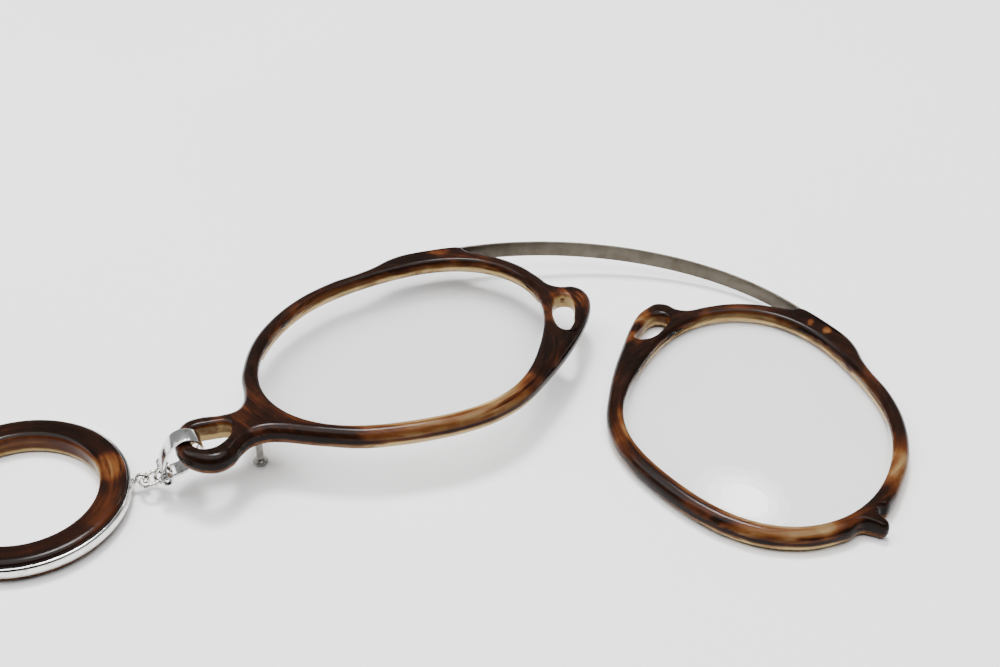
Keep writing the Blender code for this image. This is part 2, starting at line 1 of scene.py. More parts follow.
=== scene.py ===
"""Looks of folding reading glasses: tortoiseshell rims, clear lenses, steel strip, silver chain.

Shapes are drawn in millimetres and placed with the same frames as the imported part. Each rim has
its own lens frame: origin at the middle of the lens, x towards the nose, y towards the spring
side, z out of the lens plane. The right rim is a mirror image, apart from its slimmer nose loop and
the hooked nub in place of the handle loop.
"""
import math

import bmesh
import bpy
from mathutils import Matrix, Vector
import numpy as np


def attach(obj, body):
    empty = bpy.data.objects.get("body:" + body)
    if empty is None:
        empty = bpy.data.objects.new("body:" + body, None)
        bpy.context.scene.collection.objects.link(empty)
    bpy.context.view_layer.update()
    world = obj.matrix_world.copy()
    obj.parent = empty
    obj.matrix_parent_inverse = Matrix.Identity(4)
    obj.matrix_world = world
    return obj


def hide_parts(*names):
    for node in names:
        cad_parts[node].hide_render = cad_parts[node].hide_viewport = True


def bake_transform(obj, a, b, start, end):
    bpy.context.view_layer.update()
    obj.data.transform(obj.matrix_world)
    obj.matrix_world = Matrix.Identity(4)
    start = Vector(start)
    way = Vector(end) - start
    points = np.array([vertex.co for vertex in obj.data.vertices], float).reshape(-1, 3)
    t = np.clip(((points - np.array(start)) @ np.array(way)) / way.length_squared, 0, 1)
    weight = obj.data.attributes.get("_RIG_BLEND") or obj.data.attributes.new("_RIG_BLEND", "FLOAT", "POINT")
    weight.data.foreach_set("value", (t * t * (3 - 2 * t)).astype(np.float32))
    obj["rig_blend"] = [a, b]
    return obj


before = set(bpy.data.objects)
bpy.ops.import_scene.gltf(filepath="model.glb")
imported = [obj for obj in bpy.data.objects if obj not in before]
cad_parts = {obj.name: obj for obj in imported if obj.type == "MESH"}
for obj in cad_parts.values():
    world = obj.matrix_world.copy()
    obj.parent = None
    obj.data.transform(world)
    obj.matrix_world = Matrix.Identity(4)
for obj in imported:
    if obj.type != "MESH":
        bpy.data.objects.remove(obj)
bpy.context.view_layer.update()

MM = 0.001
UP = Vector((0, 0, 1))

# ---- places and sizes, as in the part (mm, degrees) ----
SHIFT = Vector((-6.51, 9.04, 0.0))
LENS_SPACING = 52.7
RIM_THICK = 3.3
LEFT_HEIGHT = 6.54
LEFT_YAW = 22.76
LEFT_TILT = -3.151
RIGHT_YAW = -35.35

OPENING_RADIUS = 21.0
OPENING_WAVES = ((2, 0.96, 2.31), (3, -0.59, 0.0), (4, -0.56, 0.28))
RIM_WIDTH = 2.45
RIM_EDGE = 1.4
HOLE_EDGE = 0.75
NOSE_TAPER_START = 22.5
NOSE_TAPER_LENGTH = 4.0
NOSE_THICK_SHARE = 0.8
RIM_STEPS = 240
NUB_SPOT = (-26.2, -4.2)
NUB_EDGE_SHARE = 0.4
NUB_EDGE_REACH = 2.2
NUB_EDGE_FADE = 2.5
NUB_TIP = (-27.3, -5.0)
NUB_TIP_REACH = 3.2
NUB_THICK_SHARE = 0.78

STRIP_THICK = 0.35
STRIP_WIDTH = 2.6
STRIP_EXIT = (11.0, 24.2)
STRIP_EXIT_ANGLE = 6.0
STRIP_TAIL = 7.4
STRIP_HANDLE = 20.2
STRIP_CORNER = 0.09
STRIP_STEP = 0.35
BLEND_SHARE = 0.42
LEAVES = 9
SLOT_PLAY = 0.14
SLOT_HALF_HEIGHT = 2.4
SLOT_END_PLAY = 0.3
SLOT_OVERRUN = 3.0
RIVET_SPOTS = (5.2, 8.4)
RIVET_HOLE = ((0.62, -1.9), (0.62, 0.75), (0.86, 0.85), (0.86, 3.0))
RIVET_PROFILE = (
    (0.45, -1.85), (0.45, 0.86), (0.74, 0.9), (0.79, 1.0), (0.74, 1.14), (0.58, 1.27), (0.36, 1.35),
    (0.12, 1.38),
)

LENS_TOP = 1.0
LENS_DOME = 0.45
LENS_BOTTOM = -0.45
LENS_SHARES = [0.994, 0.985, 0.96] + [0.9 - 0.1 * i for i in range(9)]
LENS_EDGE = ((0.05, -0.42), (0.32, -0.06), (0.32, 0.06), (0.05, 0.5))

PIN_SPOT = (-23.7, -14.0)
PIN_LIFT = 0.065
PIN_HEAD = (
    (0.85, 0.0), (0.98, 0.05), (1.12, 0.22), (1.14, 0.34), (1.06, 0.52), (0.84, 0.7), (0.66, 0.9),
    (0.57, 1.15), (0.54, 1.5),
)
PIN_STEM = ((0.54, -2.1), (0.6, -1.75), (0.6, -0.35))

STRAP_SPOT = (-24.35, -29.55, 7.45)
STRAP_HEADING = -58.0
STRAP_DROOP = 46.0
STRAP_WIDTH = 2.7
STRAP_THICK = 0.38
STRAP_CORNER = 0.12
STRAP_FOLD = 2.35
STRAP_REACH = 4.6
STRAP_LEG = ((4.5, 0.78), (4.0, 0.95), (3.1, 1.55), (2.1, 1.98), (1.2, 2.22))
BARREL_HALF = 2.3
BARREL_GAP = 0.95
LINK_ROOM_RADIUS = 1.5
KNUCKLE_ROOM = 0.14
KNUCKLE_RADIUS = 0.85
KNUCKLE_BORE = 0.5
KNUCKLE_SOFT = 0.15
CROSS_PIN_INSET = 0.2
CROSS_PIN_PROFILE = ((0.22, 0.0), (0.32, 0.06), (0.35, 0.16))
LINK_WIRE = 0.25
LINK_ENDS = (0.22, 1.1)
LINK_BEND = 0.98
LINK_DROOP = 66.0
LINK_TWIST = 15.0
LINK_INNER_SIDE = 0.26
RING_WIRE = 0.36
RING_PLAY = 0.15
STRAND_WIRE = 0.19
STRAND_REACH = 0.165
STRAND_TURNS = 9
EYE_WIRE = 0.25
EYE_BEND = 0.86
EYE_STAND_OFF = 0.51
EYE_ANGLE = 23.0
EYE_HEADING = 5.0
EYE_HEIGHT = 2.0
PENDANT_CENTRE = (-46.15, -37.8)
PENDANT_OUTER = 15.5
PENDANT_INNER = 11.0
PENDANT_THICK = 3.4
PENDANT_RISE = 1.0
PENDANT_SEAT = 0.55
PENDANT_STEPS = 192
BAND_LOW = 1.0
BAND_HIGH = 2.7
BAND_BULGE = 0.42
BAND_LIP = 0.13


# ---------------------------------------------------------------- small helpers
def clamped(value):
    return min(max(value, 0.0), 1.0)


def eased(value):
    share = clamped(value)
    return share * share * (3 - 2 * share)


def full_turn(steps):
    return [2 * math.pi * i / steps for i in range(steps)]


def arc(start, sweep, steps):
    """Angles in radians from start over sweep degrees, both ends included."""
    return [math.radians(start + sweep * i / steps) for i in range(steps + 1)]


def axes_frame(x, y, z, origin):
    made = Matrix((x, y, z)).transposed().to_4x4()
    made.translation = origin
    return made


def metres(matrix):
    made = matrix.copy()
    made.translation = matrix.translation * MM
    return made


# ---------------------------------------------------------------- mesh helpers
def shade(mesh, angle):
    mesh.shade_smooth()
    mesh.set_sharp_from_angle(angle=math.radians(angle))


def to_object(name, bm, world=None, angle=30.0):
    """Turn a bmesh in millimetres into a placed object in metres, shaded smooth."""
    bmesh.ops.scale(bm, vec=(MM, MM, MM), verts=bm.verts)
    bmesh.ops.recalc_face_normals(bm, faces=bm.faces)
    mesh = bpy.data.meshes.new(name)
    bm.to_mesh(mesh)
    bm.free()
    shade(mesh, angle)
    if world:
        mesh.transform(metres(world))
    made = bpy.data.objects.new(name, mesh)
    bpy.context.collection.objects.link(made)
    return made


def cut(target, tool):
    """Cut the tool out of the target for good, and remove the tool."""
    step = target.modifiers.new("cut", "BOOLEAN")
    step.operation = "DIFFERENCE"
    step.solver = "EXACT"
    step.object = tool
    bpy.context.view_layer.update()
    graph = bpy.context.evaluated_depsgraph_get()
    mesh = bpy.data.meshes.new_from_object(target.evaluated_get(graph))
    target.modifiers.clear()
    target.data = mesh
    bpy.data.objects.remove(tool, do_unlink=True)


def even_normals(piece):
    """Shade large flat faces flat, next to their rounded edges."""
    step = piece.modifiers.new("even normals", "WEIGHTED_NORMAL")
    step.keep_sharp = True
    step.weight = 60


def finish_piece(piece, material, body, slot, *nodes):
    """Give a piece its material, the body it rides on and the nodes it stands for; slot is not used."""
    piece.data.materials.clear()
    piece.data.materials.append(material)
    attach(piece, body)
    if nodes:
        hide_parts(*nodes)


def bridge(bm, low, high):
    count = len(low)
    for i in range(count):
        j = (i + 1) % count
        bm.faces.new((low[i], low[j], high[j], high[i]))


def capped_tube(bm, rings):
    for low, high in zip(rings, rings[1:]):
        bridge(bm, low, high)
    bm.faces.new(list(reversed(rings[0])))
    bm.faces.new(rings[-1])
    return bm


def closed_tube(bm, rings):
    for i, ring in enumerate(rings):
        bridge(bm, ring, rings[(i + 1) % len(rings)])
    return bm


def turned(profile, steps):
    """A closed solid turned about z: profile is (radius, height) from bottom to top."""
    bm = bmesh.new()
    rings = []
    for radius, height in profile:
        spots = [(radius * math.cos(a), radius * math.sin(a), height) for a in full_turn(steps)]
        rings.append([bm.verts.new(spot) for spot in spots])
    return capped_tube(bm, rings)


def ring_solid(section, steps):
    """A ring turned about z: section is a closed list of (radius, height)."""
    bm = bmesh.new()
    rings = []
    for a in full_turn(steps):
        rings.append([bm.verts.new((r * math.cos(a), r * math.sin(a), z)) for r, z in section])
    return closed_tube(bm, rings)


def sweep_section(stations, section):
    """A bar along stations of (point, across, up) with a section of (across, up) points."""
    bm = bmesh.new()
    rings = []
    for point, across, up in stations:
        rings.append([bm.verts.new(point + across * s + up * u) for s, u in section])
    return capped_tube(bm, rings)


def soft_box(half_thick, half_width, corner, steps=3):
    """Section of a flat bar with rounded corners."""
    made = []
    for sx, sy, start in ((1, 1, 0), (-1, 1, 90), (-1, -1, 180), (1, -1, 270)):
        for a in arc(start, 90, steps):
            made.append((sx * (half_thick - corner) + corner * math.cos(a),
                         sy * (half_width - corner) + corner * math.sin(a)))
    return made


def wire_loop(bm, path, wire, steps):
    """A closed loop of round wire along 3-D points."""
    count = len(path)
    rings = []
    for i, point in enumerate(path):
        along = (path[(i + 1) % count] - path[i - 1]).normalized()
        side = along.cross(UP)
        side = side.normalized() if side.length > 1e-4 else Vector((1, 0, 0))
        rise = side.cross(along).normalized()
        ring = []
        for a in full_turn(steps):
            spot = point + side * wire * math.cos(a) + rise * wire * math.sin(a)
            ring.append(bm.verts.new(spot))
        rings.append(ring)
    return closed_tube(bm, rings)


# ---------------------------------------------------------------- plane outlines
def opening(theta, grow=0.0):
    """A point of the lens opening at an angle, or of the same curve grown outwards."""
    radius = OPENING_RADIUS
    slope = 0.0
    for order, cosine, sine in OPENING_WAVES:
        radius += cosine * math.cos(order * theta) + sine * math.sin(order * theta)
        slope += order * (sine * math.cos(order * theta) - cosine * math.sin(order * theta))
    along = Vector((math.cos(theta), math.sin(theta)))
    across = Vector((-math.sin(theta), math.cos(theta)))
    normal = (along * radius - across * slope).normalized()
    return along * radius + normal * grow


def opening_loop(steps):
    return [opening(theta) for theta in full_turn(steps)]


def rim_arc(start_deg, end_deg, count):
    return [opening(theta, RIM_WIDTH) for theta in arc(start_deg, end_deg - start_deg, count - 1)]


def smooth_loop(points, per_span):
    """A closed curve through the points."""
    count = len(points)
    corners = [Vector(p) for p in points]
    made = []
    for i in range(count):
        a, b, c, d = (corners[(i + k) % count] for k in (-1, 0, 1, 2))
        reach = (c - b).length
        leave = (c - a).normalized() * reach
        arrive = (d - b).normalized() * reach
        for j in range(per_span):
            t = j / per_span
            made.append(b * (2 * t ** 3 - 3 * t ** 2 + 1) + leave * (t ** 3 - 2 * t ** 2 + t)
                        + c * (3 * t ** 2 - 2 * t ** 3) + arrive * (t ** 3 - t ** 2))
    return made


def loop_normals(points):
    """The outward direction at each point of a closed loop."""
    count = len(points)
    made = []
    for i in range(count):
        along = (points[(i + 1) % count] - points[i - 1]).normalized()
        made.append(Vector((along.y, -along.x)))
    return made


def nose_side(slim):
    """Outline from the lower nose side up round the nose loop and along the end block."""
    if slim:
        loop = [
            (14.6, -16.7), (18.7, -12.0), (22.1, -7.3), (24.9, -2.8), (27.3, 1.3), (28.9, 4.8),
            (29.2, 7.0),
        ]
    else:
        loop = [(14.6, -16.7), (19.1, -11.8), (23.1, -6.7), (26.4, -1.6), (28.7, 3.0), (29.5, 6.4)]
    return loop + [
        (29.0, 8.9), (27.5, 10.2), (25.5, 10.5), (24.1, 11.4), (23.0, 13.6), (21.0, 17.0),
        (18.2, 20.0), (15.2, 22.1), (13.3, 23.4), (12.6, 24.6), (11.0, 25.1), (6.4, 24.9),
        (2.4, 24.3), (-0.2, 23.2), (-2.6, 21.6), (-5.4, 20.2),
    ]


def handle_side():
    handle = [
        (-25.0, -7.6), (-25.4, -10.2), (-26.5, -12.0), (-28.6, -12.6), (-31.4, -12.6),
        (-33.7, -13.4), (-35.0, -15.5), (-35.2, -18.2), (-34.2, -20.8), (-32.2, -22.6),
        (-29.6, -23.2), (-27.4, -22.1), (-26.0, -20.0), (-24.3, -18.3), (-21.6, -17.9),
    ]
    return rim_arc(118, 188, 5) + handle + rim_arc(231, 298, 6)


def nub_side():
    nub = [
        (-24.95, -1.1), (-25.0, -2.1), (-24.55, -2.7), (-24.5, -3.4), (-24.95, -4.0),
        (-25.9, -4.15), (-26.9, -4.2), (-27.45, -4.9), (-27.1, -5.7), (-26.0, -6.15),
        (-24.7, -7.1),
    ]
    return rim_arc(118, 176, 5) + nub + rim_arc(202, 298, 9)


NOSE_HOLE = (
    (22.75, 0.6), (23.5, -1.8), (25.0, -1.5), (25.9, 1.6), (26.7, 5.4), (26.1, 7.1),
    (24.3, 7.1), (23.1, 4.2),
)
SLIM_NOSE_HOLE = (
    (22.9, 1.8), (24.0, 0.0), (25.2, 0.3), (26.0, 2.6), (26.7, 5.4), (26.1, 7.1),
    (24.4, 7.3), (23.3, 4.8),
)
HANDLE_HOLE = (
    (-32.7, -15.7), (-33.0, -18.0), (-31.9, -20.0), (-30.0, -20.2), (-28.3, -18.9),
    (-27.3, -17.0), (-27.5, -15.3), (-30.0, -15.1),
)


# ---------------------------------------------------------------- rims
# The "lit" attribute marks painted light, as if light came through the shell, full in the middle of a hole's
# wall.
WALL_GLOW = {"hole": 1.5, "lens": 1.0}
WALL_GLOW_END = 1.45
WALL_GLOW_FADE = 0.6
NEAR_EDGE_GLOW = 0.6
NEAR_MIDDLE = -86.0
NEAR_HALF = 66.0
NEAR_FADE = 22.0


def nose_taper(x):
    """Share of the full thickness: the nose loop is thinner."""
    return 1.0 - (1.0 - NOSE_THICK_SHARE) * eased((x - NOSE_TAPER_START) / NOSE_TAPER_LENGTH)


def nub_taper(point):
    """Share of the full thickness near the nub's tip."""
    away = (point - Vector(NUB_TIP)).length
    return NUB_THICK_SHARE + (1.0 - NUB_THICK_SHARE) * eased(away / NUB_TIP_REACH)


def edge_share(point):
    """Share of the full edge radius: the small nub has sharper edges."""
    away = (point - Vector(NUB_SPOT)).length
    share = clamped((away - NUB_EDGE_REACH) / NUB_EDGE_FADE)
    return NUB_EDGE_SHARE + (1.0 - NUB_EDGE_SHARE) * share


def round_wall(half, radius, sign, steps):
    """(height, offset) of a wall with rounded edges: sign -1 for an outer wall, +1 for a hole."""
    side = []
    for a in arc(0, 90, steps):
        side.append((half - radius + radius * math.sin(a), sign * radius * (1 - math.cos(a))))
    return [(-z, grow) for z, grow in reversed(side)] + side


def lens_wall(half, radius, steps):
    """Wall of the lens opening, with the V groove that holds the lens."""
    wall = round_wall(half, radius, 1, steps)
    groove = [(-0.5, 0.0), (-0.12, 0.45), (0.12, 0.45), (0.5, 0.0)]
    middle = len(wall) // 2
    return wall[:middle] + groove + wall[middle:]


def near_side(x, y):
    """1 on the side of the opening that faces -y, 0 on the other."""
    away = abs(math.degrees(math.atan2(y, x)) - NEAR_MIDDLE)
    return eased((NEAR_HALF - away) / NEAR_FADE)


def light_through(kind, height, x, y):
    glow = WALL_GLOW.get(kind, 0.0) * clamped((WALL_GLOW_END - abs(height)) / WALL_GLOW_FADE)
    # On the -y side the upper half of the lens wall gets painted light as well.
    if kind == "lens" and height > 0:
        return max(glow, NEAR_EDGE_GLOW * near_side(x, y))
    return glow


def wall_rings(bm, outline, profile, mirror, kind):
    """Wall along an outline: "outer", "nub" (outer wall with the nub), "hole" or "lens"."""
    side = -1.0 if mirror else 1.0
    ways = loop_normals(outline)
    lit = bm.verts.layers.float["lit"]
    rings = []
    for height, grow in profile:
        ring = []
        for p, way in zip(outline, ways):
            q = p + way * grow * (edge_share(p) if kind == "nub" else 1.0)
            thick = nose_taper(p.x) * (nub_taper(p) if kind == "nub" else 1.0)
            vert = bm.verts.new((side * q.x, q.y, height * thick))
            vert[lit] = light_through(kind, height, side * q.x, q.y)
            ring.append(vert)
        rings.append(ring)
    for low, high in zip(rings, rings[1:]):
        bridge(bm, low, high)
    return rings[0], rings[-1]


def ring_edges(bm, ring):
    count = len(ring)
    return [bm.edges.get((ring[i], ring[(i + 1) % count])) for i in range(count)]


def rim_body(outline, holes, mirror):
    """A rounded plate between an outline and its holes."""
    bm = bmesh.new()
    bm.verts.layers.float.new("lit")
    half = RIM_THICK / 2
    bottoms = []
    tops = []
    walls = [(outline, round_wall(half, RIM_EDGE, -1, 7), "nub" if mirror else "outer")]
    walls.append((opening_loop(RIM_STEPS), lens_wall(half, HOLE_EDGE, 6), "lens"))
    walls += [(smooth_loop(hole, 9), round_wall(half, HOLE_EDGE, 1, 6), "hole") for hole in holes]
    for loop, profile, kind in walls:
        low, high = wall_rings(bm, loop, profile, mirror, kind)
        bottoms += ring_edges(bm, low)
        tops += ring_edges(bm, high)
    for edges in (bottoms, tops):
        bmesh.ops.triangle_fill(bm, use_beauty=True, use_dissolve=False, edges=edges)
    return bm


def left_frame():
    turn = Matrix.Rotation(math.radians(LEFT_YAW), 4, "Z")
    turn = turn @ Matrix.Rotation(math.radians(LEFT_TILT), 4, "X")
    return Matrix.Translation(SHIFT + Vector((0, 0, LEFT_HEIGHT))) @ turn


def right_frame():
    turn = Matrix.Rotation(math.radians(RIGHT_YAW), 4, "Z")
    return Matrix.Translation(SHIFT + Vector((LENS_SPACING, 0, RIM_THICK / 2))) @ turn


def sided(point, mirror):
    """A point of the left lens frame, or its mirror image."""
    x, y, z = point if len(point) == 3 else (*point, 0.0)
    return Vector((-x if mirror else x, y, z))


def exit_direction(mirror):
    """The way in which the strip leaves its end block."""
    angle = math.radians(STRIP_EXIT_ANGLE)
    return sided((math.cos(angle), math.sin(angle), 0.0), mirror)


def slot_tool(mirror, world):
    """The saw cut that takes the strip's end."""
    way = exit_direction(mirror)
    base = sided(STRIP_EXIT, mirror)
    across = UP.cross(way)
    wide = (STRIP_THICK + SLOT_PLAY) / 2
    tall = SLOT_HALF_HEIGHT
    corners = [(-wide, -tall), (wide, -tall), (wide, tall), (-wide, tall)]
    stations = [(base - way * (STRIP_TAIL + SLOT_END_PLAY), across, UP),
                (base + way * SLOT_OVERRUN, across, UP)]
    return to_object("slot tool", sweep_section(stations, corners), world)


def rivet_place(mirror, world, spot):
    """z out of the block's outer side, origin on the strip's middle line."""
    way = exit_direction(mirror)
    base = sided(STRIP_EXIT, mirror) - way * (STRIP_EXIT[0] - spot)
    out = UP.cross(way) * (-1 if mirror else 1)
    x = out.cross(UP).normalized()
    return world @ axes_frame(x, out.cross(x), out, base)


def make_rim(name, outline, holes, mirror, world, material, body):
    rim = to_object(name, rim_body(outline, holes, mirror), world)
    bpy.context.view_layer.update()
    cut(rim, slot_tool(mirror, world))
    for spot in RIVET_SPOTS:
        cut(rim, to_object("rivet tool", turned(RIVET_HOLE, 24), rivet_place(mirror, world, spot)))
    shade(rim.data, 40)
    even_normals(rim)
    finish_piece(rim, material, body, "tortoise", name.replace("_shell", ""))


def make_rivets(name, mirror, world, material, body):
    for k, spot in enumerate(RIVET_SPOTS):
        place = rivet_place(mirror, world, spot)
        rivet = to_object(f"{name}_{k + 1}_head", turned(RIVET_PROFILE, 28), place)
        finish_piece(rivet, material, body, "steel", f"{name}_{k + 1}")


# ---------------------------------------------------------------- lenses
def lens_body(mirror):
    """A lens with a flat underside, a low dome on top and a V edge that sits in the groove."""
    bm = bmesh.new()
    side = -1.0 if mirror else 1.0
    loop = opening_loop(160)
    ways = loop_normals(loop)

    def ring(share, grow, height):
        spots = [p * share + way * grow for p, way in zip(loop, ways)]
        return [bm.verts.new((side * q.x, q.y, height)) for q in spots]

    rings = [ring(share, 0.0, LENS_BOTTOM) for share in reversed(LENS_SHARES)]
    rings += [ring(1.0, grow, height) for grow, height in LENS_EDGE]
    rings += [ring(share, 0.0, LENS_TOP - LENS_DOME * share * share) for share in LENS_SHARES]
    for low, high in zip(rings, rings[1:]):
        bridge(bm, low, high)
    for ends, height in ((rings[0], LENS_BOTTOM), (rings[-1], LENS_TOP)):
        tip = bm.verts.new((0, 0, height))
        for i, corner in enumerate(ends):
            bm.faces.new((corner, ends[(i + 1) % len(ends)], tip))
    return bm


# ---------------------------------------------------------------- spring strip
class Spring:
    """The strip's middle line at rest: straight tails in the blocks and one curve between."""

    def __init__(self):
        left, right = left_frame(), right_frame()
        self.start = left @ sided(STRIP_EXIT, False)
        self.end = right @ sided(STRIP_EXIT, True)
        self.start_way = left.to_3x3() @ exit_direction(False)
        self.end_way = -(right.to_3x3() @ exit_direction(True))
        self.up = (left.to_3x3() @ UP, right.to_3x3() @ UP)
        self.table = [(0.0, self.start)]
        for i in range(1, 401):
            here = self.bezier(i / 400)
            length = self.table[-1][0] + (here - self.table[-1][1]).length
            self.table.append((length, here))
        self.length = self.table[-1][0]

    def bezier(self, t):
        a = self.start
        b = a + self.start_way * STRIP_HANDLE
        d = self.end
        c = d - self.end_way * STRIP_HANDLE
        return a * (1 - t) ** 3 + b * 3 * t * (1 - t) ** 2 + c * 3 * t * t * (1 - t) + d * t ** 3

    def point(self, s):
        """The point at a length s from the left block's exit."""
        if s <= 0:
            return self.start + self.start_way * s
        if s >= self.length:
            return self.end + self.end_way * (s - self.length)
        for (s0, p0), (s1, p1) in zip(self.table, self.table[1:]):
            if s <= s1:
                return p0.lerp(p1, (s - s0) / (s1 - s0))
        return self.end

    def station(self, s):
        """The point at a length, with the strip's thickness and width directions."""
        along = (self.point(s + 0.4) - self.point(s - 0.4)).normalized()
        up = self.up[0].lerp(self.up[1], clamped(s / self.length))
        up = (up - along * up.dot(along)).normalized()
        return self.point(s), up.cross(along), up


def make_strip(material):
    """Pieces from the middle of one leaf to the middle of the next, each bending at one hinge."""
    spring = Spring()
    leaf = spring.length / LEAVES
    names = ["left_side"] + [f"leaf_{k}" for k in range(2, LEAVES)] + ["right_side"]
    section = soft_box(STRIP_THICK / 2, STRIP_WIDTH / 2, STRIP_CORNER)
    for k in range(1, LEAVES):
        low = -STRIP_TAIL if k == 1 else leaf * (k - 0.5)
        high = spring.length + STRIP_TAIL if k == LEAVES - 1 else leaf * (k + 0.5)
        count = max(int((high - low) / STRIP_STEP), 12)
        stations = [spring.station(low + (high - low) * i / count) for i in range(count + 1)]
        piece = to_object(f"spring_strip_{k}", sweep_section(stations, section))
        piece.data.materials.append(material)
        hinge = spring.point(leaf * k)
        way = (spring.point(leaf * k + 0.5) - spring.point(leaf * k - 0.5)).normalized()
        reach = way * leaf * BLEND_SHARE
        start, end = (hinge - reach) * MM, (hinge + reach) * MM
        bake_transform(piece, names[k - 1], names[k], start=start, end=end)
        nodes = [f"spring_leaf_{k}"] + ([f"spring_leaf_{LEAVES}"] if k == LEAVES - 1 else [])
        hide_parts(*nodes)


# ---------------------------------------------------------------- catch pin
def make_catch_pin(world, material):
    """A peg in the left rim that reaches down to just above the table."""
    place = world @ Matrix.Translation((*PIN_SPOT, 0))
    foot = PIN_LIFT - place.translation.z
    profile = [(radius, foot + height) for radius, height in PIN_HEAD] + list(PIN_STEM)
    pin = to_object("catch_pin_peg", turned(profile, 36), place, angle=50)
    finish_piece(pin, material, "left_side", "steel", "catch_pin")


# ---------------------------------------------------------------- strap, link, rings
def heading(degrees, droop=0.0):
    """A direction at a compass angle, pointing down by droop."""
    flat = math.cos(math.radians(droop))
    turn = math.radians(degrees)
    return Vector((flat * math.cos(turn), flat * math.sin(turn), -math.sin(math.radians(droop))))


def strap_frame():
    width = heading(STRAP_HEADING)
    out = heading(STRAP_HEADING - 90.0, STRAP_DROOP)
    return axes_frame(out, width, out.cross(width), SHIFT + Vector(STRAP_SPOT))


def barrel_frame(world):
    """The cross pin's frame, with z along the pin."""
    return world @ Matrix.Translation((STRAP_REACH, 0, 0)) @ Matrix.Rotation(math.pi / 2, 4, "X")


def strap_path():
    bend = [(STRAP_FOLD * math.cos(a), STRAP_FOLD * math.sin(a)) for a in arc(75, 105, 20)]
    half = list(STRAP_LEG) + bend
    return half + [(x, -z) for x, z in reversed(half[:-1])]


def make_strap(world, place, material):
    """A flat band folded round the handle wall, cut out in the middle where the link passes."""
    path = strap_path()
    stations = []
    for i, (x, z) in enumerate(path):
        before = Vector(path[max(i - 1, 0)])
        after = Vector(path[min(i + 1, len(path) - 1)])
        way = (after - before).normalized()
        stations.append((Vector((x, 0, z)), Vector((-way.y, 0, way.x)), Vector((0, 1, 0))))
    bm = sweep_section(stations, soft_box(STRAP_THICK / 2, STRAP_WIDTH / 2, STRAP_CORNER))
    strap = to_object("bail_strap_band", bm, world)
    room = turned([(LINK_ROOM_RADIUS, -BARREL_GAP), (LINK_ROOM_RADIUS, BARREL_GAP)], 40)
    bpy.context.view_layer.update()
    cut(strap, to_object("room tool", room, place))
    shade(strap.data, 40)
    finish_piece(strap, material, "bail", "silver", "bail_strap")


def make_knuckles(place, material):
    """The strap's two eyes on the cross pin, with room for the twisted ring beside them."""
    half = (BARREL_HALF - BARREL_GAP - KNUCKLE_ROOM) / 2
    middle = (BARREL_HALF + BARREL_GAP + KNUCKLE_ROOM) / 2
    inner, outer, soft = KNUCKLE_BORE, KNUCKLE_RADIUS, KNUCKLE_SOFT
    section = [
        (inner, soft - half), (inner + soft, -half), (outer - soft, -half), (outer, soft - half),
        (outer, half - soft), (outer - soft, half), (inner + soft, half), (inner, half - soft),
    ]
    for k, side in enumerate((-1, 1)):
        knuckle = to_object(f"bail_knuckle_{k + 1}", ring_solid(section, 32),
                            place @ Matrix.Translation((0, 0, side * middle)))
        finish_piece(knuckle, material, "bail", "silver")


def make_cross_pin(place, material):
    end = BARREL_HALF - CROSS_PIN_INSET
    profile = [(radius, height - end) for radius, height in CROSS_PIN_PROFILE]
    profile += [(radius, -height) for radius, height in reversed(profile)]
    pin = to_object("bail_cross_pin", turned(profile, 24), place)
    finish_piece(pin, material, "bail", "silver", "bail_pin")


def link_frame(barrel):
    way = heading(STRAP_HEADING - 90.0 - LINK_TWIST, LINK_DROOP)
    width = heading(STRAP_HEADING - LINK_TWIST)
    return axes_frame(way, -way.cross(width), width, barrel.translation)


def make_link(place, material):
    path = []
    for centre, start in ((LINK_ENDS[1], -90), (LINK_ENDS[0], 90)):
        for a in arc(start, 180, 16):
            path.append(Vector((centre + LINK_BEND * math.cos(a), LINK_BEND * math.sin(a), 0)))
    bm = wire_loop(bmesh.new(), path, LINK_WIRE, 14)
    link = to_object("chain_link_wire", bm, place, angle=80)
    finish_piece(link, material, "link", "silver", "chain_link")


def link_touch(place):
    """Where the middle of the twisted ring's wire passes through the link."""
    hole_end = LINK_ENDS[1] + LINK_BEND - LINK_INNER_SIDE
    return place @ Vector((hole_end - RING_WIRE - RING_PLAY, 0, 0))


def make_twisted_ring(inner, outer, material):
    """Two fine wires wound round each other and closed into a ring."""
    x = (inner - outer).normalized()
    y = UP.cross(x).normalized()
    place = axes_frame(x, y, x.cross(y), (inner + outer) / 2)
    radius = (outer - inner).length / 2
    bm = bmesh.new()
    for start in (0.0, math.pi):
        path = []
        for a in full_turn(220):
            spin = start + a * STRAND_TURNS
            reach = radius + STRAND_REACH * math.cos(spin)
            height = STRAND_REACH * math.sin(spin)
            path.append(Vector((reach * math.cos(a), reach * math.sin(a), height)))
        wire_loop(bm, path, STRAND_WIRE, 10)
    ring = to_object("twisted_wire_ring", bm, place, angle=80)
    finish_piece(ring, material, "ring", "silver", "twisted_ring")


# ---------------------------------------------------------------- pendant
def pendant_frame():
    centre = SHIFT + Vector((*PENDANT_CENTRE, 0))
    return Matrix.Translation(centre) @ Matrix.Rotation(math.radians(EYE_ANGLE), 4, "Z")


